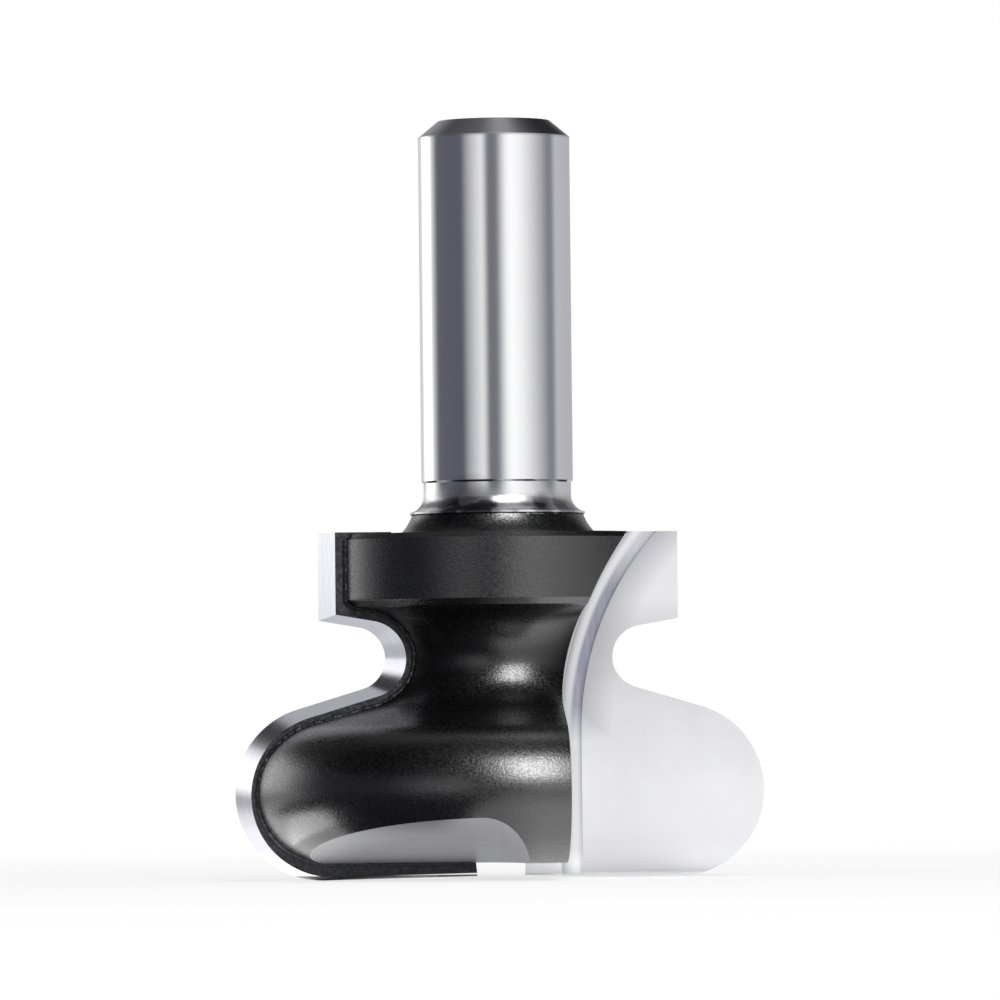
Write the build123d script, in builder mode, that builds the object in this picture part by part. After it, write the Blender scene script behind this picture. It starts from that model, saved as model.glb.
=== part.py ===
from build123d import *
import os
from math import cos, radians, sin, sqrt, tan

# A two-wing profile cutter on a plain round shank, standing on its cutting end.
# One turned steel body carries two ground carbide tips, each brazed into a seat.
# The axis is Z, the cutting end is down and the tips' lowest edges touch Z = 0.
# The right tip (+X) shows its rake face towards -Y; the left one is half a turn on.
# All lengths are millimetres and all angles degrees.

# ---- shank, and the neck and collar between it and the head ----
overall_length = 63.5
shank_diameter = 12.7
shank_bevel_width = 1.65
shank_bevel_height = 1.38
undercut_depth = 0.17
undercut_length = 1.0
flare_width = 1.14
flare_height = 1.43
flare_lip_height = 0.15
collar_step = 0.12
collar_height = 1.6
collar_foot_width = 1.1
collar_hollow = 0.12

# ---- cutting form, as the edges cut it ----
head_height = 29.0
cutting_diameter = 44.45
nose_radius = 7.3
lower_flank_angle = 16.8
hollow_radius = 2.65
hollow_throat = 7.4
upper_flank_angle = 10.0
step_diameter = 30.4
step_corner_height = 21.7
end_dish = 0.25

# ---- steel head, set back from the cutting form ----
body_setback = 1.4
body_hollow_radius = 4.2
hub_setback = 1.5
hub_bevel = 0.45
tip_stand_proud = 0.2

# ---- carbide tips ----
rake_offset = 2.0
tip_thickness = 3.0
tip_front_step = 0.8
nose_relief = 1.4
lower_flank_relief = 1.0
upper_flank_relief = 0.7
side_relief = 1.5
floor_relief = 0.3
hollow_relief_radius = 3.22
root_foot_x = 2.0
root_knee_x = 3.6
root_knee_height = 17.0
root_top_x = 8.9
braze_gap = 0.11

# ---- gullets in front of the tips ----
gullet_wall_x = 4.3
gullet_lean_angle = 4.0
gullet_straight_height = 12.3
gullet_runout_radius = 27.4
gullet_corner_radius = 2.4

# ---- end relief behind the tips ----
end_relief_angle = 14.0
end_relief_x = 2.7
end_relief_corner_radius = 4.2

# ---- worked out from the above ----
cutting_radius = cutting_diameter / 2
step_radius = step_diameter / 2
edge_reach = sqrt(cutting_radius**2 - rake_offset**2)
edge_side = sqrt(step_radius**2 - rake_offset**2)
tip_front_y = rake_offset - tip_front_step
tip_back_y = rake_offset + tip_thickness
seat_back_y = tip_back_y + braze_gap
past_body = cutting_diameter

low_normal = Vector(sin(radians(lower_flank_angle)), cos(radians(lower_flank_angle)))
high_normal = Vector(-sin(radians(upper_flank_angle)), cos(radians(upper_flank_angle)))


def on_circle(centre, radius, angle):
    """Point on a circle at an angle in degrees from the first axis."""
    return centre + Vector(cos(radians(angle)), sin(radians(angle))) * radius


def lower_flank_distance(reach, floor, radius):
    """Distance from the origin of the lower flank that touches the nose circle."""
    return low_normal.dot(Vector(reach - radius, floor + radius)) + radius


def form_points(reach, floor, low, high, hollow, throat, side):
    """Points of the form from the floor up to the step corner.

    reach is the widest radius, low and high are the distances of the two flanks
    from the origin, hollow is the radius between them and side is the step's radius.
    Where the flanks meet deep in the form, the hollow widens to keep out of the throat.
    """
    nose = low - low_normal.X * reach - low_normal.Y * floor
    nose = nose / (1 - low_normal.X + low_normal.Y)
    nose_centre = Vector(reach - nose, floor + nose)
    spread = sin(radians(lower_flank_angle + upper_flank_angle))
    flanks_meet_x = (low * high_normal.Y - high * low_normal.Y) / spread
    centre_rise = (low_normal.Y + high_normal.Y) / spread
    hollow = max(hollow, (throat - flanks_meet_x) / (centre_rise - 1))
    hollow_y = ((high - hollow) * low_normal.X - (low + hollow) * high_normal.X) / spread
    hollow_centre = Vector(flanks_meet_x + hollow * centre_rise, hollow_y)
    return [
        nose_centre - Vector(0, nose),
        on_circle(nose_centre, nose, -lower_flank_angle / 2),
        nose_centre + low_normal * nose,
        hollow_centre - low_normal * hollow,
        on_circle(hollow_centre, hollow, 180 + (upper_flank_angle - lower_flank_angle) / 2),
        hollow_centre + high_normal * hollow,
        Vector(side, (high - high_normal.X * side) / high_normal.Y),
    ]


def draw_form(points):
    """Nose arc, lower flank, hollow arc and upper flank in the active line."""
    ThreePointArc(points[0], points[1], points[2])
    Line(points[2], points[3])
    ThreePointArc(points[3], points[4], points[5])
    Line(points[5], points[6])


def draw_tip_root(points, floor, side):
    """Step side, top and hidden root edge of a tip, closing its outline."""
    Polyline(
        points[6],
        (side, head_height),
        (root_top_x, head_height),
        (root_knee_x, root_knee_height),
        (root_foot_x, floor + end_dish),
        points[0],
    )


# Flank distances and form of the cutting edge in the rake plane
edge_low = lower_flank_distance(edge_reach, 0, nose_radius)
edge_high = high_normal.dot(Vector(edge_side, step_corner_height))
edge_form = form_points(
    edge_reach, 0, edge_low, edge_high, hollow_radius, hollow_throat, edge_side
)

# Form of a tip's back face, drawn in by the relief ground behind each edge
back_reach = edge_reach - nose_relief
back_side = edge_side - side_relief
back_form = form_points(
    back_reach,
    floor_relief,
    edge_low - lower_flank_relief,
    edge_high + upper_flank_relief,
    hollow_relief_radius,
    hollow_throat,
    back_side,
)

# Form of the turned head, set back all round from the circle that the edges cut
head_low = lower_flank_distance(cutting_radius, 0, nose_radius) - body_setback
head_high = high_normal.dot(Vector(step_radius, step_corner_height)) + body_setback
hub_radius = step_radius - hub_setback
hub_top_height = head_height - tip_stand_proud
head_form = form_points(
    cutting_radius - body_setback,
    body_setback,
    head_low,
    head_high,
    body_hollow_radius,
    hollow_throat - body_setback,
    hub_radius,
)
hub_foot_bevel = high_normal.rotate(Axis.Z, 90) * hub_bevel

# The neck, stacked up from the top of the hub to the shank's shoulder
collar_top_height = hub_top_height + collar_height
lip_foot_height = collar_top_height + collar_step
lip_top_height = lip_foot_height + flare_lip_height
flare_top_height = lip_top_height + flare_height
undercut_top_height = flare_top_height + undercut_length
shoulder_height = undercut_top_height + undercut_depth

shank_radius = shank_diameter / 2
undercut_radius = shank_radius - undercut_depth
lip_radius = undercut_radius + flare_width
collar_top_radius = lip_radius - collar_step
collar_foot_radius = collar_top_radius + collar_foot_width

# The whole steel piece as it leaves the lathe
with BuildPart() as turned_blank:
    with BuildSketch(Plane.XZ):
        with BuildLine():
            Line((0, body_setback), head_form[0])
            draw_form(head_form[:6] + [head_form[6] + hub_foot_bevel])
            Polyline(
                head_form[6] + hub_foot_bevel,
                head_form[6] + Vector(0, hub_bevel),
                (hub_radius, hub_top_height - hub_bevel),
                (hub_radius - hub_bevel, hub_top_height),
                (collar_foot_radius, hub_top_height),
            )
            SagittaArc(
                (collar_foot_radius, hub_top_height),
                (collar_top_radius, collar_top_height),
                -collar_hollow,
            )
            Polyline(
                (collar_top_radius, collar_top_height),
                (lip_radius, lip_foot_height),
                (lip_radius, lip_top_height),
            )
            TangentArc(
                (undercut_radius, flare_top_height),
                (lip_radius, lip_top_height),
                tangent=(0, -1),
            )
            Polyline(
                (undercut_radius, flare_top_height),
                (undercut_radius, undercut_top_height),
                (shank_radius, shoulder_height),
                (shank_radius, overall_length - shank_bevel_height),
                (shank_radius - shank_bevel_width, overall_length),
                (0, overall_length),
                (0, body_setback),
            )
        make_face()
    revolve(axis=Axis.Z)

# The room cut in front of the right tip by a round-cornered wheel: straight up the
# wing beside a wall that leans off the rake plane's normal, then out on the wheel's arc
rake_plane = Plane.XZ.offset(-rake_offset)
wheel_axis = Axis((gullet_wall_x + gullet_runout_radius, 0, gullet_straight_height), (0, 1, 0))
wall_run = cutting_diameter * tan(radians(gullet_lean_angle))
with BuildPart() as gullet:
    with BuildSketch(Plane.XY.offset(gullet_straight_height)) as wheel_section:
        with BuildLine():
            Polyline(
                (gullet_wall_x, rake_offset),
                (gullet_wall_x + wall_run, rake_offset - cutting_diameter),
                (gullet_wall_x + gullet_runout_radius, rake_offset - cutting_diameter),
                (gullet_wall_x + gullet_runout_radius, rake_offset),
                close=True,
            )
        make_face()
        wheel_corner = vertices().group_by(Axis.X)[0]
        fillet(wheel_corner, gullet_corner_radius)
    extrude(amount=-(gullet_straight_height + body_setback))
    revolve(wheel_section.sketch, axis=wheel_axis, revolution_arc=90)
    split(bisect_by=Plane.XY.offset(head_height), keep=Keep.BOTTOM)

# A ground tip as it fits the seat, before the gullet is cut along its face
with BuildPart() as tip_blank:
    with BuildSketch(rake_plane) as rake_face:
        with BuildLine():
            draw_form(edge_form)
            draw_tip_root(edge_form, 0, edge_side)
        make_face()
    with BuildSketch(Plane.XZ.offset(-tip_back_y)):
        with BuildLine():
            draw_form(back_form)
            draw_tip_root(back_form, floor_relief, back_side)
        make_face()
    loft(ruled=True)
    extrude(rake_face.sketch, amount=tip_front_step)

# The seat milled into the head for the right tip, with room for braze behind it
with BuildPart() as seat:
    with BuildSketch(Plane.XZ.offset(-tip_front_y)):
        with BuildLine():
            Polyline(
                (root_foot_x - braze_gap, 0),
                (root_foot_x - braze_gap, end_dish),
                (root_knee_x - braze_gap, root_knee_height),
                (root_top_x - braze_gap, head_height),
                (past_body, head_height),
                (past_body, 0),
                close=True,
            )
        make_face()
    extrude(amount=-(seat_back_y - tip_front_y))

# The end relief behind the left tip: a plane rising from the seat, round at its end
slope = Vector(0, -cos(radians(end_relief_angle)), sin(radians(end_relief_angle)))
relief_plane = Plane(origin=(0, -seat_back_y, body_setback), x_dir=(1, 0, 0), z_dir=slope)
with BuildPart() as end_relief:
    with BuildSketch(relief_plane):
        with Locations((end_relief_x, 0)):
            Rectangle(past_body, head_height, align=(Align.MAX, Align.MAX))
        round_corner = vertices().group_by(Axis.X)[-1].sort_by(Axis.Y)[-1]
        fillet(round_corner, end_relief_corner_radius)
    extrude(amount=past_body)

# Steel body: shank, collar and two-wing head in one piece
with BuildPart() as body:
    add(turned_blank.part)
    with PolarLocations(0, 2):
        add(seat.part, mode=Mode.SUBTRACT)
        add(gullet.part, mode=Mode.SUBTRACT)
        add(end_relief.part, mode=Mode.SUBTRACT)

os.makedirs("parts", exist_ok=True)
body.part.label = "body"
export_step(body.part, "parts/body.step")

# The two tips and their braze, alike and half a turn apart
for side, turn in (("right", 0), ("left", 180)):
    with BuildPart() as tip:
        with Locations(Rotation(0, 0, turn)):
            add(tip_blank.part)
            add(gullet.part, mode=Mode.SUBTRACT)
    tip.part.label = f"carbide_tip_{side}"
    export_step(tip.part, f"parts/carbide_tip_{side}.step")

    with BuildPart() as braze:
        add(turned_blank.part)
        with Locations(Rotation(0, 0, turn)):
            add(seat.part, mode=Mode.INTERSECT)
            add(tip_blank.part, mode=Mode.SUBTRACT)
            add(gullet.part, mode=Mode.SUBTRACT)
    braze.part.label = f"braze_{side}"
    export_step(braze.part, f"parts/braze_{side}.step")
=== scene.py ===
from math import atan2, cos, hypot, pi, radians, sin, sqrt, tan

import bpy
import numpy as np
from mathutils import Matrix, Vector


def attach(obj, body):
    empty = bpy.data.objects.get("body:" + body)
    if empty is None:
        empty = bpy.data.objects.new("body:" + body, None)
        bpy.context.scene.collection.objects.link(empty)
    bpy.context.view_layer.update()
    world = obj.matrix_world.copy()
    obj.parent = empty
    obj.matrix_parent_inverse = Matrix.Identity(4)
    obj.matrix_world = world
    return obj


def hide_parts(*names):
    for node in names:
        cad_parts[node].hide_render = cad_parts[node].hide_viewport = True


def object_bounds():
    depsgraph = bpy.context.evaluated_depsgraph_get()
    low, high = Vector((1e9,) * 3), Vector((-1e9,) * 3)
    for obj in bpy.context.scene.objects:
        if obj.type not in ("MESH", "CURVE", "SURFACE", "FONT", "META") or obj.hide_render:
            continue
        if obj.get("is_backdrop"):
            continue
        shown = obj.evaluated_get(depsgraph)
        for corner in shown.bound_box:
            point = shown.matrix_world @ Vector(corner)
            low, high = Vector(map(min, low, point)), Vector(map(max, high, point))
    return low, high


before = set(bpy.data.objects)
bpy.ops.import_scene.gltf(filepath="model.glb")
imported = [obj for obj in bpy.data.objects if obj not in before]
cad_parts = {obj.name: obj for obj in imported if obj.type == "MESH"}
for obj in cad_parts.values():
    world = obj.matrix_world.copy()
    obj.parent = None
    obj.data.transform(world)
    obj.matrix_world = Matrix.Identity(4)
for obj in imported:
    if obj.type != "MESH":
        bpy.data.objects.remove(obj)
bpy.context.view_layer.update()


# ---------------------------------------------------------------------------
# Steel body. One bar of tool steel, turned on a lathe into shank, collar and
# two-wing head, then milled for the tip seats and cut clear in front of each
# edge. Head and collar wear a baked black coating, the shank is ground bright.
# ---------------------------------------------------------------------------
# Shapes are given in millimetres, pairs of them as (radius, height). Finishes and the
# studio are given in metres
mm = 0.001
cutting_radius, nose_radius = 22.225, 7.3
head_height, step_corner_height, step_radius = 29.0, 21.7, 15.2
lower_flank, upper_flank = radians(16.8), radians(10.0)
body_setback, body_hollow_radius = 1.4, 4.2
hub_radius, hub_bevel, hub_top = 13.7, 0.45, 28.8
collar_foot, collar_top, collar_hollow = (8.3, 28.8), (7.2, 30.4), 0.12
lip_foot, lip_top, flare_top = (7.32, 30.52), (7.32, 30.67), (6.18, 32.10)
undercut_top, shoulder = (6.18, 33.10), (6.35, 33.27)
shank_bevel_foot, shank_top = (6.35, 62.12), (4.7, 63.5)

low_normal = np.array([sin(lower_flank), cos(lower_flank)])
high_normal = np.array([-sin(upper_flank), cos(upper_flank)])


def arc(centre, radius, start, end, steps):
    """Points (x, z) on a circle from one angle to another, both in radians."""
    turn = np.linspace(start, end, steps + 1)
    return np.array(centre) + radius * np.stack([np.cos(turn), np.sin(turn)], 1)


def cutting_form(reach, floor, low, high, hollow, side):
    """The form (x, z) from its foot over the nose, the flank and the hollow to the step."""
    nose = (low - low_normal[0] * reach - low_normal[1] * floor) / (1 - low_normal[0] + low_normal[1])
    spread = sin(lower_flank + upper_flank)
    low_shift, high_shift = low + hollow, high - hollow
    centre = [
        (low_shift * high_normal[1] - high_shift * low_normal[1]) / spread,
        (high_shift * low_normal[0] - low_shift * high_normal[0]) / spread,
    ]
    return np.concatenate([
        arc([reach - nose, floor + nose], nose, -pi / 2, pi / 2 - lower_flank, 56),
        arc(centre, hollow, 3 * pi / 2 - lower_flank, pi / 2 + upper_flank, 32),
        [[side, (high - high_normal[0] * side) / high_normal[1]]],
    ])


def flank_distance(reach, floor, radius):
    """How far from the origin the lower flank lies that touches the nose circle."""
    return low_normal @ np.array([reach - radius, floor + radius]) + radius


head = cutting_form(
    cutting_radius - body_setback,
    body_setback,
    flank_distance(cutting_radius, 0, nose_radius) - body_setback,
    high_normal @ np.array([step_radius, step_corner_height]) + body_setback,
    body_hollow_radius,
    hub_radius,
)
hub_foot = head[-1]
flare_run, flare_rise = lip_top[0] - flare_top[0], flare_top[1] - lip_top[1]
flare_radius = (flare_run**2 + flare_rise**2) / (2 * flare_run)
flare_sweep = atan2(flare_rise, flare_radius - flare_run)
collar_span = np.array(collar_top) - np.array(collar_foot)
collar_side = np.array([-collar_span[1], collar_span[0]]) / hypot(*collar_span)
collar_run = [
    np.array(collar_foot) + collar_span * t + collar_side * collar_hollow * 4 * t * (1 - t)
    for t in np.linspace(0, 1, 13)
]
lathe_profile = np.concatenate([
    head[:-1],
    [hub_foot + np.array([-cos(upper_flank), -sin(upper_flank)]) * hub_bevel],
    [hub_foot + np.array([0, hub_bevel])],
    [[hub_radius, hub_top - hub_bevel], [hub_radius - hub_bevel, hub_top]],
    collar_run,
    [lip_foot],
    arc([flare_top[0] + flare_radius, flare_top[1]], flare_radius, pi + flare_sweep, pi, 16),
    [undercut_top, shoulder, shank_bevel_foot, shank_top],
])


def set_down(name, data):
    """A new object of a mesh, lamp or camera, linked to the scene."""
    made = bpy.data.objects.new(name, data)
    bpy.context.scene.collection.objects.link(made)
    return made


def closed_mesh(name, rings, skin=0):
    """A closed shell over rings of points in millimetres, with a flat face at either end.

    skin is the finish of all its faces, or a list with the finish of each side in turn.
    """
    rings = np.asarray(rings, float) * mm
    count, around = rings.shape[:2]
    faces = [
        (
            i * around + j,
            i * around + (j + 1) % around,
            (i + 1) * around + (j + 1) % around,
            (i + 1) * around + j,
        )
        for i in range(count - 1)
        for j in range(around)
    ]
    faces += [tuple(range(around))[::-1], tuple(range((count - 1) * around, count * around))]
    mesh = bpy.data.meshes.new(name)
    mesh.from_pydata(rings.reshape(-1, 3), [], faces)
    sides = list(skin) if hasattr(skin, "__len__") else [skin] * around
    mesh.polygons.foreach_set("material_index", sides * (count - 1) + [sides[0]] * 2)
    corners = [vertex.co for vertex in mesh.vertices]
    volume = sum(
        corners[face.vertices[0]].dot(corners[face.vertices[k]].cross(corners[face.vertices[k + 1]]))
        for face in mesh.polygons
        for k in range(1, len(face.vertices) - 1)
    )
    if volume < 0:
        mesh.flip_normals()
    return set_down(name, mesh)


def half_turn(rings):
    """The same rings for the other wing, half a turn round the axis."""
    return np.asarray(rings) * [-1, -1, 1]


def cut_away(blank, tools, materials, name):
    """The blank less the tools, as a plain mesh whose creases are sharp."""
    for material in materials:
        blank.data.materials.append(material)
    for tool in tools:
        cut = blank.modifiers.new("cut", "BOOLEAN")
        cut.operation, cut.solver, cut.object = "DIFFERENCE", "EXACT", tool
    bpy.context.view_layer.update()
    graph = bpy.context.evaluated_depsgraph_get()
    mesh = bpy.data.meshes.new_from_object(blank.evaluated_get(graph))
    for spare in [blank, *tools]:
        bpy.data.objects.remove(spare)
    mesh.name = name
    mesh.shade_smooth()
    mesh.set_sharp_from_angle(angle=radians(24))
    return set_down(name, mesh)


# The seat milled for the right tip, its braze gap included: its outline (x, z) and how
# far forward and back it goes. It runs out of the head at the foot, the side and the top
seat_front, seat_back = 1.2, 5.11
seat_outline = [(1.89, -1), (1.89, 0.25), (3.49, 17.0), (8.79, 29.0), (9.23, 30.0), (45, 30.0), (45, -1)]
seat_rings = [[(x, y, z) for x, z in seat_outline] for y in (seat_front, seat_back)]

# The room in front of the right edge: up the wing beside a leaning wall, then out on
# the arc of the wheel that cut it. Its far sides are well clear of the head
rake_offset = 2.0
gullet_wall, gullet_lean, gullet_straight, gullet_runout, gullet_corner = 4.3, radians(4.0), 12.3, 27.4, 2.4
gullet_side, gullet_depth, gullet_foot, gullet_sweep = 31.0, 40, -1.4, radians(52)
corner_reach = gullet_corner / tan((pi / 2 - gullet_lean) / 2)
wall_down = np.array([sin(gullet_lean), -cos(gullet_lean)])
corner_centre = np.array([gullet_wall + corner_reach, rake_offset - gullet_corner])
gullet_section = np.concatenate([
    [[gullet_side, rake_offset]],
    arc(corner_centre, gullet_corner, pi / 2, pi + gullet_lean, 20),
    [np.array([gullet_wall, rake_offset]) + wall_down * gullet_depth],
    [[gullet_side, rake_offset - gullet_depth]],
])
wheel_centre = gullet_wall + gullet_runout
gullet_rings = [[(x, y, gullet_foot) for x, y in gullet_section]] + [
    [
        (wheel_centre - (wheel_centre - x) * cos(lift), y, gullet_straight + (wheel_centre - x) * sin(lift))
        for x, y in gullet_section
    ]
    for lift in np.linspace(0, gullet_sweep, 72)
]

# The end relief behind the left tip: a plane rising from the seat, round at its end. Its
# far sides too are well clear
relief_angle, relief_end, relief_corner = radians(14.0), 2.7, 4.2
relief_side, relief_foot, relief_depth = -45, -29, 44.0
relief_up = np.array([0, sin(relief_angle), cos(relief_angle)])
relief_out = np.array([0, -cos(relief_angle), sin(relief_angle)])
relief_outline = np.concatenate([
    [[relief_side, 0]],
    arc([relief_end - relief_corner, -relief_corner], relief_corner, pi / 2, 0, 24),
    [[relief_end, relief_foot], [relief_side, relief_foot]],
])
relief_rings = [
    [np.array([x, -seat_back, body_setback]) + relief_up * up + relief_out * out for x, up in relief_outline]
    for out in (0.0, relief_depth)
]


def linear(hex_colour):
    """An sRGB hex value as a linear colour with full alpha."""
    parts = [int(hex_colour[i:i + 2], 16) / 255 for i in (1, 3, 5)]
    return [c / 12.92 if c <= 0.04045 else ((c + 0.055) / 1.055) ** 2.4 for c in parts] + [1.0]


def add(tree, kind, links=None, stops=(), **settings):
    """Add a node. links fills its sockets, with values or other nodes' sockets, settings
    its properties, and stops a colour ramp from pairs of place and hex colour."""
    made = tree.nodes.new(kind)
    for k, (place, colour) in enumerate(stops):
        stop = made.color_ramp.elements[k] if k < 2 else made.color_ramp.elements.new(place)
        stop.position, stop.color = place, linear(colour)
    for key, value in settings.items():
        setattr(made, key, value)
    for key, value in (links or {}).items():
        if isinstance(value, bpy.types.NodeSocket):
            tree.links.new(value, made.inputs[key])
        else:
            made.inputs[key].default_value = value
    return made


def finish_named(name):
    """A new empty material and its node tree."""
    material = bpy.data.materials.new(name)
    material.use_nodes = True
    material.node_tree.nodes.clear()
    return material, material.node_tree


def marks(tree, place, noise, strength, depth, tones, stretch=None):
    """Fine marks in a surface, as two sockets: their tone and their bump, depth in metres.

    noise fills the pattern's sockets, and stretch, in marks to the metre along X, Y and
    Z, draws them out into lines.
    """
    if stretch:
        place = add(tree, "ShaderNodeMapping", {"Vector": place, "Scale": stretch}).outputs["Vector"]
    pattern = add(tree, "ShaderNodeTexNoise", {"Vector": place, **noise}).outputs["Fac"]
    dent = add(tree, "ShaderNodeBump", {"Strength": strength, "Distance": depth, "Height": pattern})
    tone = add(tree, "ShaderNodeValToRGB", {"Fac": pattern}, stops=tones)
    return tone.outputs["Color"], dent.outputs["Normal"]


# Baked black coating: a thin sprayed resin film, cured in an oven. Satin, with a sandy
# grain about 0.2 mm wide, some grains duller, that breaks its highlights into speckles.
# It stops in a ragged line at the collar's top, above which the steel is bare.
coated_steel, tree = finish_named("baked_black_coating_on_turned_steel")
place = add(tree, "ShaderNodeTexCoord").outputs["Object"]
parts = add(tree, "ShaderNodeSeparateXYZ", {"Vector": place})
height = parts.outputs["Z"]
sand = add(tree, "ShaderNodeTexVoronoi", {"Vector": place, "Scale": 7000})
grain = add(tree, "ShaderNodeTexNoise", {"Vector": place, "Scale": 4200, "Detail": 2.0, "Roughness": 0.7})
fleck = add(tree, "ShaderNodeSeparateColor", {"Color": sand.outputs["Color"]})
matt = add(tree, "ShaderNodeMapRange", {"Value": fleck.outputs["Red"], "To Min": 0.21, "To Max": 0.36})
cloud = add(tree, "ShaderNodeTexNoise", {"Vector": place, "Scale": 420, "Detail": 2.0})
peel = add(tree, "ShaderNodeBump", {"Strength": 0.3, "Distance": 0.00006, "Height": grain.outputs["Fac"]})
tone = add(tree, "ShaderNodeValToRGB", {"Fac": cloud.outputs["Fac"]}, stops=[
    (0.3, "#040405"), (0.7, "#070708"),
])
film = add(tree, "ShaderNodeBsdfPrincipled", {
    "Base Color": tone.outputs["Color"], "Roughness": matt.outputs["Result"], "IOR": 1.72,
    "Normal": peel.outputs["Normal"],
})

# Painted shade beside the brazed seams: a dull near-black film darkens the groove, then
# the underside of the step above it. Each row says how near the plane through both wings
# it starts and is full, and at what heights it starts, is full, begins to fade and ends
from_plane = add(tree, "ShaderNodeMath", {0: parts.outputs["Y"]}, operation="ABSOLUTE").outputs[0]
painted_shade = 0.0
for shade_free, shade_full, foot, full_above, full_below, top in (
    (0.0092, 0.0068, 0.0136, 0.0148, 0.0228, 0.0233),
    (0.0115, 0.0085, 0.0212, 0.0219, 0.0232, 0.0235),
):
    patch = add(tree, "ShaderNodeMapRange", {"Value": from_plane, "From Min": shade_free, "From Max": shade_full})
    for start, full in ((foot, full_above), (top, full_below)):
        band = add(tree, "ShaderNodeMapRange", {"Value": height, "From Min": start, "From Max": full})
        patch = add(tree, "ShaderNodeMath", {
            0: patch.outputs[0], 1: band.outputs["Result"],
        }, operation="MULTIPLY")
    painted_shade = add(tree, "ShaderNodeMath", {0: patch.outputs[0], 1: painted_shade}, operation="MAXIMUM").outputs[0]
painted_shade = add(tree, "ShaderNodeMath", {0: painted_shade, 1: 0.85}, operation="MULTIPLY")
shaded_film = add(tree, "ShaderNodeBsdfPrincipled", {
    "Base Color": linear("#060607"), "Roughness": 0.9, "Specular IOR Level": 0.05,
    "Normal": peel.outputs["Normal"],
})
film = add(tree, "ShaderNodeMixShader", {
    "Fac": painted_shade.outputs[0], 1: film.outputs[0], 2: shaded_film.outputs[0],
})

# The bare steel is turned in fine rings. Low on the flare it is rough and scorched in
# blotches, with two darker patches at the front: centre, radius. Above, it grows smoother
flare_low, flare_clean, shank_low = 0.0312, 0.0322, 0.0330
lines = add(tree, "ShaderNodeMapping", {"Vector": place, "Scale": (300, 300, 9000)})
turning = add(tree, "ShaderNodeTexNoise", {"Vector": lines.outputs["Vector"], "Scale": 1.0, "Detail": 2.0})
turned = add(tree, "ShaderNodeBump", {
    "Strength": 0.2, "Distance": 0.00001, "Height": turning.outputs["Fac"],
})
torn = add(tree, "ShaderNodeTexNoise", {"Vector": place, "Scale": 480, "Detail": 2.0})
flare = add(tree, "ShaderNodeMapRange", {
    "Value": height, "From Min": flare_low, "From Max": flare_clean, "To Min": 0.35, "To Max": 0.0,
})
blotch = add(tree, "ShaderNodeMapRange", {
    "Value": torn.outputs["Fac"], "From Min": 0.44, "From Max": 0.58, "To Max": 1.7,
})
scorch_and_dark_patches = add(tree, "ShaderNodeMath", {
    0: blotch.outputs["Result"], 1: flare.outputs["Result"],
}, operation="MULTIPLY")
for centre, radius in (((-0.0023, -0.0064, 0.0308), 0.0032), ((0.0040, -0.0055, 0.0314), 0.0012)):
    away = add(tree, "ShaderNodeVectorMath", {0: place, 1: centre}, operation="DISTANCE")
    front_dark_patch = add(tree, "ShaderNodeMapRange", {
        "Value": away.outputs["Value"], "From Min": radius, "From Max": radius * 0.35, "To Max": 0.8,
    })
    scorch_and_dark_patches = add(tree, "ShaderNodeMath", {0: scorch_and_dark_patches.outputs[0], 1: front_dark_patch.outputs["Result"]}, operation="ADD")
steel_tone = add(tree, "ShaderNodeMix", {
    "Factor": scorch_and_dark_patches.outputs[0], "A": linear("#d3d3d4"), "B": linear("#3c3c42"),
}, data_type="RGBA")
turned = add(tree, "ShaderNodeBump", {
    "Strength": flare.outputs["Result"], "Distance": 0.0003, "Height": torn.outputs["Fac"],
    "Normal": turned.outputs["Normal"],
})
dull = add(tree, "ShaderNodeMapRange", {
    "Value": height, "From Min": flare_low, "From Max": shank_low, "To Min": 0.38, "To Max": 0.13,
})

# The shank's end, its bevel and its face, is duller and darker than the ground shank
end = add(tree, "ShaderNodeMapRange", {"Value": height, "From Min": 0.0619, "From Max": 0.0622})
dull = add(tree, "ShaderNodeMath", {
    0: end.outputs["Result"], 1: 0.15, 2: dull.outputs["Result"],
}, operation="MULTIPLY_ADD")
steel_tone = add(tree, "ShaderNodeMix", {
    "Factor": end.outputs["Result"], "A": steel_tone.outputs["Result"], "B": linear("#8a8a8e"),
}, data_type="RGBA")
bright = add(tree, "ShaderNodeBsdfPrincipled", {
    "Base Color": steel_tone.outputs["Result"], "Metallic": 1.0, "Roughness": dull.outputs[0],
    "Anisotropic": 0.5, "Normal": turned.outputs["Normal"],
})
fray = add(tree, "ShaderNodeTexNoise", {"Vector": place, "Scale": 1500, "Detail": 3.0})
edge = add(tree, "ShaderNodeMath", {0: fray.outputs["Fac"], 1: 0.0005, 2: height}, operation="MULTIPLY_ADD")
bare = add(tree, "ShaderNodeMapRange", {"Value": edge.outputs[0], "From Min": 0.03068, "From Max": 0.03074})
skin = add(tree, "ShaderNodeMixShader", {
    "Fac": bare.outputs["Result"], 1: film.outputs[0], 2: bright.outputs[0],
})
add(tree, "ShaderNodeOutputMaterial", {"Surface": skin.outputs[0]})

# Bright ground steel: the gullet walls and the tip seats, cut through the coating by a
# wheel, so they keep its fine parallel scratches.
ground_steel, tree = finish_named("wheel_ground_steel")
place = add(tree, "ShaderNodeTexCoord").outputs["Object"]
tone, dent = marks(
    tree, place, {"Scale": 1.0, "Detail": 3.0}, 0.3, 0.00002, [(0.3, "#c2c2c3"), (0.7, "#d0d0d0")],
    stretch=(900, 900, 7000),
)
steel = add(tree, "ShaderNodeBsdfPrincipled", {
    "Base Color": tone, "Metallic": 1.0, "Roughness": 0.4, "Normal": dent,
})
add(tree, "ShaderNodeOutputMaterial", {"Surface": steel.outputs[0]})

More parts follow.
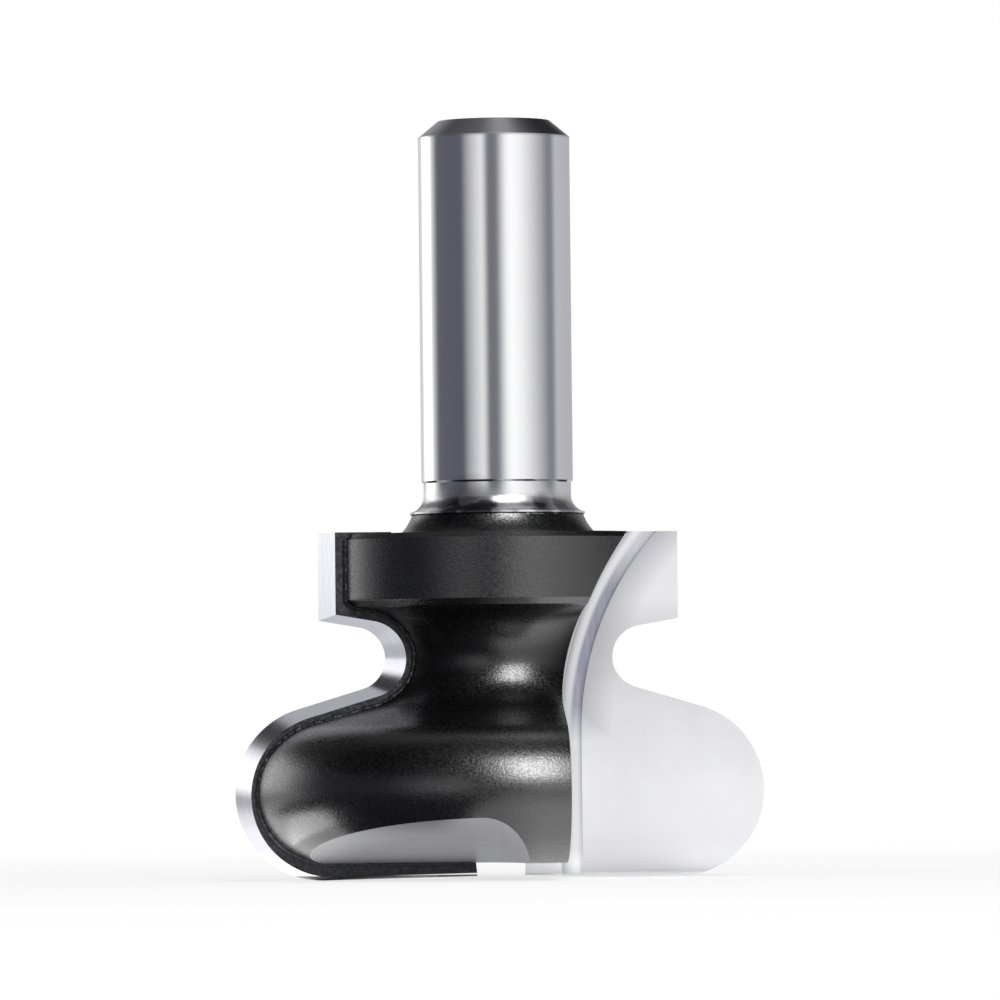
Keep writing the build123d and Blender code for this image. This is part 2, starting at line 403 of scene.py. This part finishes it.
# Milled relief: the facets behind the tips, milled and left grey and matt, with wide
# faint marks from the cutter.
milled_steel, tree = finish_named("milled_grey_steel")
place = add(tree, "ShaderNodeTexCoord").outputs["Object"]
tone, dent = marks(
    tree, place, {"Scale": 1.0, "Detail": 4.0}, 0.3, 0.00002, [(0.3, "#8e8e90"), (0.7, "#98989a")],
    stretch=(300, 3000, 3000),
)
steel = add(tree, "ShaderNodeBsdfPrincipled", {
    "Base Color": tone, "Metallic": 1.0, "Roughness": 0.5, "Normal": dent,
})
add(tree, "ShaderNodeOutputMaterial", {"Surface": steel.outputs[0]})

turn_angles = np.linspace(0, 2 * pi, 361)[:-1]
body = cut_away(
    closed_mesh("turned_blank", [
        [(r * cos(a), r * sin(a), z) for a in turn_angles] for r, z in lathe_profile
    ]),
    [
        closed_mesh(f"{name}_{side}", turn(rings), skin)
        for name, rings, skin in (
            ("seat", seat_rings, 1), ("gullet", gullet_rings, 1), ("relief", relief_rings, 2),
        )
        for side, turn in (("right", np.asarray), ("left", half_turn))
    ],
    [coated_steel, ground_steel, milled_steel],
    "steel_body",
)
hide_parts("body")
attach(body, "root")


# ---------------------------------------------------------------------------
# Carbide tips. Two plates of sintered tungsten carbide, brazed into the seats,
# then ground to the form with relief behind the edge and lapped on the rake
# face, where the wheel also leaves the gullet's run-out in the plate.
# ---------------------------------------------------------------------------
tip_back, tip_front = 5.0, 1.2
edge_hollow_radius, back_hollow_radius = 2.65, 3.22
nose_relief, floor_relief, low_relief, high_relief, side_relief = 1.4, 0.3, 1.0, 0.7, 1.5
edge_reach, edge_side = sqrt(cutting_radius**2 - rake_offset**2), sqrt(step_radius**2 - rake_offset**2)
edge_low = flank_distance(edge_reach, 0, nose_radius)
edge_high = high_normal @ np.array([edge_side, step_corner_height])
edge_outline = cutting_form(edge_reach, 0, edge_low, edge_high, edge_hollow_radius, edge_side)
back_outline = cutting_form(
    edge_reach - nose_relief, floor_relief, edge_low - low_relief, edge_high + high_relief,
    back_hollow_radius, edge_side - side_relief,
)
root_line = [[8.9, head_height], [3.6, 17]]
edge_outline = np.concatenate([edge_outline, [[edge_side, head_height]], root_line, [[2.0, 0.25]]])
back_outline = np.concatenate([
    back_outline, [[edge_side - side_relief, head_height]], root_line, [[2.0, 0.55]],
])
tip_rings = [[(x, tip_front, z) for x, z in edge_outline]] + [
    [
        (x, rake_offset + (tip_back - rake_offset) * share, z)
        for x, z in edge_outline * (1 - share) + back_outline * share
    ]
    for share in (0, 0.25, 0.5, 0.75, 1)
]


def toned_by_height(tree, height, start, full, tone, colour):
    """A tone that turns to another colour from one height to another, as a socket."""
    share = add(tree, "ShaderNodeMapRange", {"Value": height, "From Min": start, "From Max": full})
    return add(tree, "ShaderNodeMix", {
        "Factor": share.outputs["Result"], "A": tone, "B": linear(colour),
    }, data_type="RGBA").outputs["Result"]


# Ground tungsten carbide: fine diamond-wheel marks along the edge, so it shines like
# grey steel and carries long soft reflections. Painted light lightens it at the very foot.
painted_light_foot = 0.0024, 0.0012
ground_carbide, tree = finish_named("diamond_ground_carbide")
place = add(tree, "ShaderNodeTexCoord").outputs["Object"]
height = add(tree, "ShaderNodeSeparateXYZ", {"Vector": place}).outputs["Z"]
tone, dent = marks(
    tree, place, {"Scale": 1.0, "Detail": 3.0}, 0.25, 0.00001, [(0.3, "#adadb4"), (0.7, "#bababf")],
    stretch=(500, 9000, 500),
)
carbide = add(tree, "ShaderNodeBsdfPrincipled", {
    "Base Color": toned_by_height(tree, height, *painted_light_foot, tone, "#ececee"),
    "Metallic": 1.0, "Roughness": 0.2, "Normal": dent,
})
add(tree, "ShaderNodeOutputMaterial", {"Surface": carbide.outputs[0]})


def from_gullet_wall(tree, parts):
    """How far a place on a tip is from its gullet's wall, in metres, as a socket."""
    across = add(tree, "ShaderNodeMath", {0: parts.outputs["X"]}, operation="ABSOLUTE")
    across = add(tree, "ShaderNodeMath", {0: wheel_centre * mm, 1: across.outputs[0]}, operation="SUBTRACT")
    above = add(tree, "ShaderNodeMath", {
        0: parts.outputs["Z"], 1: gullet_straight * mm,
    }, operation="SUBTRACT")
    above = add(tree, "ShaderNodeMath", {0: above.outputs[0], 1: 0.0}, operation="MAXIMUM")
    reach = add(tree, "ShaderNodeCombineXYZ", {"X": across.outputs[0], "Y": above.outputs[0]})
    reach = add(tree, "ShaderNodeVectorMath", {0: reach.outputs[0]}, operation="LENGTH").outputs["Value"]
    return add(tree, "ShaderNodeMath", {0: gullet_runout * mm, 1: reach}, operation="SUBTRACT").outputs[0]


# Lapped rake face: a soft shine with a faint cloudiness left by the lap. Painted light
# makes it lightest near the top, and painted shade greys it beside the wheel corner above
# the nose and towards the lower end.
rake_top, wall_shade_heights, rake_foot = (0.0205, 0.0235), (0.0145, 0.0115), (0.0075, 0.0030)
rake_carbide, tree = finish_named("lapped_carbide")
place = add(tree, "ShaderNodeTexCoord").outputs["Object"]
parts = add(tree, "ShaderNodeSeparateXYZ", {"Vector": place})
height = parts.outputs["Z"]
cloud = add(tree, "ShaderNodeTexNoise", {"Vector": place, "Scale": 260, "Detail": 4.0, "Roughness": 0.6})
tone = add(tree, "ShaderNodeValToRGB", {"Fac": cloud.outputs["Fac"]}, stops=[
    (0.3, "#d9d9da"), (0.7, "#e0e0e1"),
])
tone = toned_by_height(tree, height, *rake_top, tone.outputs["Color"], "#f0f0f1")
# Painted shade beside the gullet wall, fading out below the upper curve
clear_of_painted_shade = add(tree, "ShaderNodeMapRange", {
    "Value": from_gullet_wall(tree, parts), "From Min": 0.0021, "From Max": 0.0052,
})
low = add(tree, "ShaderNodeMapRange", {
    "Value": height, "From Min": wall_shade_heights[0], "From Max": wall_shade_heights[1],
})
clear_of_painted_shade = add(tree, "ShaderNodeMath", {
    0: clear_of_painted_shade.outputs["Result"], 1: low.outputs["Result"],
}, operation="MAXIMUM")
tone = add(tree, "ShaderNodeMix", {
    "Factor": clear_of_painted_shade.outputs[0], "A": linear("#b2b2b7"), "B": tone,
}, data_type="RGBA")
tone = toned_by_height(tree, height, *rake_foot, tone.outputs["Result"], "#cfcfd1")
carbide = add(tree, "ShaderNodeBsdfPrincipled", {"Base Color": tone, "Metallic": 1.0, "Roughness": 0.3})
add(tree, "ShaderNodeOutputMaterial", {"Surface": carbide.outputs[0]})

# Wheel corner: the rounded run-out beside the rake face, left streaked as the wheel cut
# it. It is light by the wall. Beside the lapped face painted shade darkens it a little violet,
# most in the upper middle of its height, and painted light lightens it at the very foot.
corner_carbide, tree = finish_named("wheel_cut_carbide_corner")
place = add(tree, "ShaderNodeTexCoord").outputs["Object"]
parts = add(tree, "ShaderNodeSeparateXYZ", {"Vector": place})
height = parts.outputs["Z"]
streak = add(tree, "ShaderNodeMapping", {"Vector": place, "Scale": (2500, 2500, 200)})
streak = add(tree, "ShaderNodeTexNoise", {"Vector": streak.outputs["Vector"], "Scale": 1.0, "Detail": 3.0})
tone = add(tree, "ShaderNodeValToRGB", {"Fac": streak.outputs["Fac"]}, stops=[
    (0.3, "#7c7c88"), (0.7, "#8b8b97"),
])
lift = add(tree, "ShaderNodeMapRange", {"Value": height, "From Max": 0.03})
middle = add(tree, "ShaderNodeValToRGB", {"Fac": lift.outputs["Result"]}, stops=[
    (0.38, "#000000"), (0.48, "#ffffff"), (0.80, "#ffffff"), (0.92, "#808080"),
])
beside = add(tree, "ShaderNodeMapRange", {
    "Value": from_gullet_wall(tree, parts), "From Min": 0.0015, "From Max": 0.0018,
})
painted_fillet_shade = add(tree, "ShaderNodeMath", {
    0: middle.outputs["Color"], 1: beside.outputs["Result"],
}, operation="MULTIPLY")
tone = add(tree, "ShaderNodeMix", {
    "Factor": painted_fillet_shade.outputs[0], "A": linear("#bababe"), "B": tone.outputs["Color"],
}, data_type="RGBA")
tone = toned_by_height(tree, height, *painted_light_foot, tone.outputs["Result"], "#d2d2d6")
carbide = add(tree, "ShaderNodeBsdfPrincipled", {"Base Color": tone, "Metallic": 1.0, "Roughness": 0.24})
add(tree, "ShaderNodeOutputMaterial", {"Surface": carbide.outputs[0]})

# Back of the plate: sintered skin stained dark by flux and coating, dull and rough.
stained_carbide, tree = finish_named("sintered_carbide_with_burnt_flux")
place = add(tree, "ShaderNodeTexCoord").outputs["Object"]
tone, dent = marks(
    tree, place, {"Scale": 2200, "Detail": 4.0, "Roughness": 0.65}, 0.7, 0.00012,
    [(0.35, "#101013"), (0.65, "#383840")],
)
skin = add(tree, "ShaderNodeBsdfPrincipled", {
    "Base Color": tone, "Metallic": 0.4, "Roughness": 0.5, "Normal": dent,
})
add(tree, "ShaderNodeOutputMaterial", {"Surface": skin.outputs[0]})

# The gullet's tool leaves the lapped face, then 21 sides of corner and wall, then the
# lapped face again
tip_finishes = [ground_carbide, rake_carbide, stained_carbide, corner_carbide]
gullet_finishes = [1] + [3] * 21 + [1] * 2
for side, turn, away in (("right", np.asarray, 1), ("left", half_turn, -1)):
    tip = cut_away(
        closed_mesh(f"tip_blank_{side}", turn(tip_rings)),
        [closed_mesh(f"gullet_{side}", turn(gullet_rings), gullet_finishes)],
        tip_finishes,
        f"ground_tip_{side}",
    )
    for face in tip.data.polygons:
        if face.normal.y * away > 0.99 and face.center.y * away > (tip_back - 0.1) * mm:
            face.material_index = tip_finishes.index(stained_carbide)
    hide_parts(f"carbide_tip_{side}")
    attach(tip, "root")


# ---------------------------------------------------------------------------
# Braze. A thin film of silver alloy between each plate and its seat, and the
# uneven bead that it leaves where the plate's back comes out of the steel. The
# bead is darkened by burnt flux and by the coating sprayed over it.
# ---------------------------------------------------------------------------
silver_braze, tree = finish_named("silver_braze_alloy")
place = add(tree, "ShaderNodeTexCoord").outputs["Object"]
tone, dent = marks(
    tree, place, {"Scale": 1400, "Detail": 3.0}, 0.4, 0.00004, [(0.35, "#7d7a74"), (0.65, "#a5a199")],
)
alloy = add(tree, "ShaderNodeBsdfPrincipled", {
    "Base Color": tone, "Metallic": 1.0, "Roughness": 0.38, "Normal": dent,
})
add(tree, "ShaderNodeOutputMaterial", {"Surface": alloy.outputs[0]})
for side in ("right", "left"):
    film_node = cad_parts[f"braze_{side}"]
    film_node.data.materials.clear()
    film_node.data.materials.append(silver_braze)

# The bead: a lumpy rod of alloy and flux drawn along the seam, from the plate's root
# under the head, round the form and up the hub. Its crust is dark, pitted and dull.
burnt_braze, tree = finish_named("braze_bead_under_burnt_flux")
place = add(tree, "ShaderNodeTexCoord").outputs["Object"]
tone, dent = marks(
    tree, place, {"Scale": 3200, "Detail": 4.0, "Roughness": 0.7}, 0.8, 0.00008,
    [(0.4, "#0a0a0c"), (0.62, "#34343c")],
)
bead_skin = add(tree, "ShaderNodeBsdfPrincipled", {
    "Base Color": tone, "Metallic": 0.5, "Roughness": 0.42, "Normal": dent,
})
add(tree, "ShaderNodeOutputMaterial", {"Surface": bead_skin.outputs[0]})

bead_tree = bpy.data.node_groups.new("bead_along_a_seam", "GeometryNodeTree")
bead_tree.is_modifier = True
sockets = {
    name: bead_tree.interface.new_socket(name, in_out="INPUT", socket_type=kind)
    for name, kind in (
        ("Seam", "NodeSocketGeometry"), ("Bead Radius", "NodeSocketFloat"),
        ("Lump Spacing", "NodeSocketFloat"), ("Wander", "NodeSocketFloat"),
        ("Seed", "NodeSocketFloat"), ("Finish", "NodeSocketMaterial"),
    )
}
bead_tree.interface.new_socket("Bead", in_out="OUTPUT", socket_type="NodeSocketGeometry")
given = add(bead_tree, "NodeGroupInput").outputs
seam_line = add(bead_tree, "GeometryNodeMeshToCurve", {"Mesh": given["Seam"]})
seam_line = add(bead_tree, "GeometryNodeResampleCurve", {"Curve": seam_line.outputs[0], "Count": 640})
density = add(bead_tree, "ShaderNodeMath", {0: 1.0, 1: given["Lump Spacing"]}, operation="DIVIDE")
lump = add(bead_tree, "ShaderNodeTexNoise", {
    "W": given["Seed"], "Scale": density.outputs[0], "Detail": 3.0,
}, noise_dimensions="4D")
swing = add(bead_tree, "ShaderNodeVectorMath", {
    0: lump.outputs["Color"], 1: (0.5, 0.5, 0.5),
}, operation="SUBTRACT")
swing = add(bead_tree, "ShaderNodeVectorMath", {
    0: swing.outputs[0], "Scale": given["Wander"],
}, operation="SCALE")
seam_line = add(bead_tree, "GeometryNodeSetPosition", {
    "Geometry": seam_line.outputs[0], "Offset": swing.outputs[0],
})
swell = add(bead_tree, "ShaderNodeMapRange", {
    "Value": lump.outputs["Fac"], "From Min": 0.3, "From Max": 0.7, "To Min": 0.65, "To Max": 1.3,
})
thick = add(bead_tree, "ShaderNodeMath", {
    0: swell.outputs["Result"], 1: given["Bead Radius"],
}, operation="MULTIPLY")
rod = add(bead_tree, "GeometryNodeCurvePrimitiveCircle", {"Resolution": 12, "Radius": 1.0})
bead_mesh = add(bead_tree, "GeometryNodeCurveToMesh", {
    "Curve": seam_line.outputs[0], "Profile Curve": rod.outputs[0], "Scale": thick.outputs[0],
    "Fill Caps": True,
})
bead_mesh = add(bead_tree, "GeometryNodeRealizeInstances", {"Geometry": bead_mesh.outputs[0]})
bead_mesh = add(bead_tree, "GeometryNodeSetMaterial", {
    "Geometry": bead_mesh.outputs[0], "Material": given["Finish"],
})
add(bead_tree, "NodeGroupOutput", {0: bead_mesh.outputs[0]})

# The seam's places (x, z): straight out under the head, then up the body's own form
seam_y, seam_start = 5.14, 2.4
seam_form = [(sqrt(r * r - seam_y**2), z) for r, z in lathe_profile[:len(head) + 2]]
seam_run = seam_form[0][0] - seam_start
seam_path = [(seam_start + seam_run * k / 12, body_setback) for k in range(12)] + seam_form
for side, turn, seed in (("right", np.asarray, 2.0), ("left", half_turn, 7.0)):
    points = turn([(x, seam_y, z) for x, z in seam_path]) * mm
    line_mesh = bpy.data.meshes.new(f"seam_{side}")
    line_mesh.from_pydata(points, [(k, k + 1) for k in range(len(points) - 1)], [])
    line = set_down(f"seam_{side}", line_mesh)
    laid = line.modifiers.new("bead", "NODES")
    laid.node_group = bead_tree
    for name, value in (
        ("Bead Radius", 0.00021), ("Lump Spacing", 0.0007), ("Wander", 0.00022), ("Seed", seed),
        ("Finish", burnt_braze),
    ):
        laid[sockets[name].identifier] = value
    bpy.context.view_layer.update()
    bead_shape = bpy.data.meshes.new_from_object(line.evaluated_get(bpy.context.evaluated_depsgraph_get()))
    bpy.data.objects.remove(line)
    bead_shape.shade_smooth()
    bead = set_down(f"braze_bead_{side}", bead_shape)
    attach(bead, "root")


# ---------------------------------------------------------------------------
# Studio: a plain pale floor, white paper all round, four soft lamps, and grey
# and black cards that put the long tones into the ground steel and carbide.
# ---------------------------------------------------------------------------
floor_reach = 3
floor_mesh = bpy.data.meshes.new("floor")
floor_mesh.from_pydata([
    (x * floor_reach, y * floor_reach, 0) for x, y in ((-1, -1), (1, -1), (1, 1), (-1, 1))
], [], [(0, 1, 2, 3)])
floor = set_down("floor", floor_mesh)
white_floor, tree = finish_named("white_paper_floor")
place = add(tree, "ShaderNodeTexCoord").outputs["Object"]
seen = add(tree, "ShaderNodeLightPath").outputs["Is Camera Ray"]
distance = add(tree, "ShaderNodeVectorMath", {0: place}, operation="LENGTH").outputs["Value"]
fade = add(tree, "ShaderNodeMapRange", {
    "Value": distance, "From Min": 0.03, "From Max": 0.25, "To Min": 0.72, "To Max": 1.0,
})
amount = add(tree, "ShaderNodeMath", {0: fade.outputs["Result"], 1: seen}, operation="MULTIPLY")
paper = add(tree, "ShaderNodeBsdfDiffuse", {"Color": linear("#f0f0f0")})
glow = add(tree, "ShaderNodeEmission", {"Color": linear("#ffffff"), "Strength": 1.0})
blend = add(tree, "ShaderNodeMixShader", {"Fac": amount.outputs[0], 1: paper.outputs[0], 2: glow.outputs[0]})
add(tree, "ShaderNodeOutputMaterial", {"Surface": blend.outputs[0]})
floor.data.materials.append(white_floor)
floor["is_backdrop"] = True


def towards(azimuth, elevation=0.0):
    """A unit step from the object to its studio; azimuth 0 is in front, and grows to the right."""
    return np.array([sin(azimuth) * cos(elevation), -cos(azimuth) * cos(elevation), sin(elevation)])


def card_tones(tree, parts, tones):
    """The tones of cards side by side round the object, from pairs of azimuth in degrees
    and hex colour, as a socket."""
    back = add(tree, "ShaderNodeMath", {0: parts.outputs["Y"], 1: -1.0}, operation="MULTIPLY")
    azimuth = add(tree, "ShaderNodeMath", {0: parts.outputs["X"], 1: back.outputs[0]}, operation="ARCTAN2")
    share = add(tree, "ShaderNodeMapRange", {"Value": azimuth.outputs[0], "From Min": -pi, "From Max": pi})
    return add(tree, "ShaderNodeValToRGB", {"Fac": share.outputs["Result"]}, stops=[
        ((a + 180) / 360, tone) for a, tone in tones
    ]).outputs["Color"]


def glow_only_in_reflections(card, paper, tree, colour, strength):
    """Give a card a glowing paper, and hide it but for what it puts into polished faces."""
    glow = add(tree, "ShaderNodeEmission", {"Color": colour, "Strength": strength})
    add(tree, "ShaderNodeOutputMaterial", {"Surface": glow.outputs[0]})
    card.data.materials.append(paper)
    card.visible_camera = card.visible_diffuse = card.visible_shadow = card.visible_transmission = False


# The cards stand in a tall ring under a dark ceiling
ring_columns, ring_rows = 181, 31
ring_turn = np.linspace(-pi, pi, ring_columns)
ring_climb = np.radians(np.linspace(0, 90, ring_rows))
ring_mesh = bpy.data.meshes.new("card_ring")
ring_mesh.from_pydata([towards(a, e) for e in ring_climb for a in ring_turn], [], [
    (k, k + 1, k + ring_columns + 1, k + ring_columns)
    for j in range(ring_rows - 1)
    for k in range(j * ring_columns, (j + 1) * ring_columns - 1)
])
ring = set_down("card_ring", ring_mesh)
card_paper, tree = finish_named("grey_and_black_cards")
place = add(tree, "ShaderNodeTexCoord").outputs["Object"]
parts = add(tree, "ShaderNodeSeparateXYZ", {"Vector": place})
cards = card_tones(tree, parts, [
    (-180, "#9c9ca0"), (-148, "#c8c8cc"), (-142, "#f6f6f6"), (-118, "#f6f6f6"), (-99, "#5a5a64"),
    (-51, "#54545e"), (-43, "#9a9aa0"), (-19, "#e8e8ea"), (-10, "#66666e"), (3, "#6c6c74"),
    (17, "#f0f0f1"), (25, "#fdfdfd"), (42, "#ececec"), (88, "#7a7a82"), (96, "#7a7a82"),
    (106, "#b6b6ba"), (150, "#a6a6ab"), (180, "#9c9ca0"),
])
rise = add(tree, "ShaderNodeValToRGB", {"Fac": parts.outputs["Z"]}, stops=[
    (0.30, "#ffffff"), (0.47, "#404040"), (0.80, "#404040"), (0.95, "#909090"),
])
tone = add(tree, "ShaderNodeMix", {
    "Factor": 1.0, "A": cards, "B": rise.outputs["Color"],
}, data_type="RGBA", blend_type="MULTIPLY")
glow_only_in_reflections(ring, card_paper, tree, tone.outputs["Result"], 1.55)
ring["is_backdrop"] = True

# More cards lie round the object on the floor, brightest at the front right. They are
# grey right beside it, and brighter near it than far off
card_near, card_far, card_lift = 0.001, 0.98, [0, 0, 0.0004]
floor_card_mesh = bpy.data.meshes.new("floor_cards")
floor_card_mesh.from_pydata([
    r * towards(a) + card_lift for r in (card_near, card_far) for a in ring_turn
], [], [
    (k, k + 1, k + ring_columns + 1, k + ring_columns) for k in range(ring_columns - 1)
])
floor_cards = set_down("floor_cards", floor_card_mesh)
card_paper, tree = finish_named("cards_on_the_floor")
place = add(tree, "ShaderNodeTexCoord").outputs["Object"]
parts = add(tree, "ShaderNodeSeparateXYZ", {"Vector": place})
cards = card_tones(tree, parts, [
    (-180, "#c8c8c8"), (-165, "#b4b4b8"), (-130, "#b4b4b8"), (-112, "#e8e8e8"), (-40, "#e8e8e8"),
    (0, "#c8c8c8"), (12, "#ffffff"), (70, "#ffffff"), (95, "#b4b4b4"), (180, "#c8c8c8"),
])
distance = add(tree, "ShaderNodeVectorMath", {0: place}, operation="LENGTH").outputs["Value"]
clear = add(tree, "ShaderNodeMapRange", {"Value": distance, "From Min": 0.014, "From Max": 0.018})
tone = add(tree, "ShaderNodeMix", {
    "Factor": clear.outputs["Result"], "A": linear("#a8a8a8"), "B": cards,
}, data_type="RGBA")
dimmer = add(tree, "ShaderNodeMapRange", {
    "Value": distance, "From Min": 0.03, "From Max": 0.07, "To Min": 2.2, "To Max": 1.3,
})
glow_only_in_reflections(floor_cards, card_paper, tree, tone.outputs["Result"], dimmer.outputs["Result"])
floor_cards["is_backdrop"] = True


def flat_card(name, corners, colour, strength):
    """A flat card of four corners and one colour."""
    mesh = bpy.data.meshes.new(name)
    mesh.from_pydata(corners, [], [(0, 1, 2, 3)])
    card = set_down(name, mesh)
    paper, tree = finish_named(name + "_paper")
    glow_only_in_reflections(card, paper, tree, linear(colour), strength)
    return card


# Two dark cards and a small bright one cover the others at the front left and left
for name, left, right, front, back, lift, colour, strength in (
    ("dark_front_left_card", -0.9, -0.004, -0.9, -0.0145, 0.0008, "#45454b", 1.0),
    ("dark_left_card", -0.9, -0.031, -0.0145, 0.006, 0.0009, "#45454b", 1.0),
    ("bright_left_card", -0.029, -0.019, -0.0145, -0.004, 0.0010, "#ffffff", 3.8),
):
    corners = [(left, front, lift), (right, front, lift), (right, back, lift), (left, back, lift)]
    card = flat_card(name, corners, colour, strength)
    card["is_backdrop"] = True

# Soft rectangular lamps that face the middle of the object: azimuth and elevation in
# degrees, width, height, brightness (1 looks white), and which rays they leave out
lamp_distance, middle_height = 0.8, 0.02
for name, azimuth, elevation, width, height, brightness, left_out in (
    ("front_right_softbox", 18, 37, 0.32, 0.5, 15, "visible_diffuse"),
    ("overhead_softbox", 150, 78, 0.24, 0.22, 1.3, "visible_diffuse"),
    ("back_left_strip", -129, 12, 0.4, 0.3, 0.8, None),
    ("front_fill", 20, 45, 0.5, 0.5, 5, "visible_glossy"),
):
    light = bpy.data.lights.new(name, "AREA")
    light.shape, light.size, light.size_y = "RECTANGLE", width, height
    light.energy = brightness * pi * width * height
    lamp = set_down(name, light)
    aim = Vector(towards(radians(azimuth), radians(elevation)))
    stand = Matrix.Translation(Vector((0, 0, middle_height)) + aim * lamp_distance)
    lamp.matrix_world = stand @ aim.to_track_quat("Z", "Y").to_matrix().to_4x4()
    lamp.visible_camera = False
    if left_out:
        setattr(lamp, left_out, False)

# A tall grey card at the back left, leaning over the ground edges
tall_card_distance = 0.9
tall_card = flat_card("tall_card", [
    tall_card_distance * towards(radians(azimuth), radians(elevation))
    for azimuth, elevation in ((-171, 16), (-152, 16), (-152, 60), (-171, 60))
], "#e8e8ec", 0.9)
tall_card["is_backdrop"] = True

# White all round for the camera and for reflections, half as strong as light
world = bpy.data.worlds.new("white_studio")
bpy.context.scene.world = world
world.use_nodes = True
tree = world.node_tree
tree.nodes.clear()
path = add(tree, "ShaderNodeLightPath")
seen = add(tree, "ShaderNodeMath", {
    0: path.outputs["Is Camera Ray"], 1: path.outputs["Is Glossy Ray"],
}, operation="MAXIMUM")
seen = add(tree, "ShaderNodeMath", {
    0: seen.outputs[0], 1: path.outputs["Is Transmission Ray"],
}, operation="MAXIMUM")
level = add(tree, "ShaderNodeMapRange", {"Value": seen.outputs[0], "To Min": 0.5, "To Max": 1.0})
sky = add(tree, "ShaderNodeBackground", {"Color": linear("#ffffff"), "Strength": level.outputs["Result"]})
add(tree, "ShaderNodeOutputWorld", {"Surface": sky.outputs[0]})

# Camera at the height of the nose, looking very slightly up, with a little roll. The
# lens takes in a view 83.8 mm wide at the object
camera_distance, view_width, camera_side, roll = 780, 83.8, 0.00022, radians(-0.6)
camera_data = bpy.data.cameras.new("camera")
camera_data.sensor_width, camera_data.lens = 36, 36 / view_width * camera_distance
camera_data.clip_start, camera_data.clip_end = 0.01, 20
camera = set_down("camera", camera_data)
eye, aim = Vector((camera_side, -camera_distance * mm, 0.010)), Vector((camera_side, 0, 0.0317))
look = (aim - eye).to_track_quat("-Z", "Y").to_matrix().to_4x4()
camera.matrix_world = Matrix.Translation(eye) @ look @ Matrix.Rotation(roll, 4, "Z")
bpy.context.scene.camera = camera
bpy.context.scene.view_settings.view_transform = "Standard"

low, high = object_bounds()
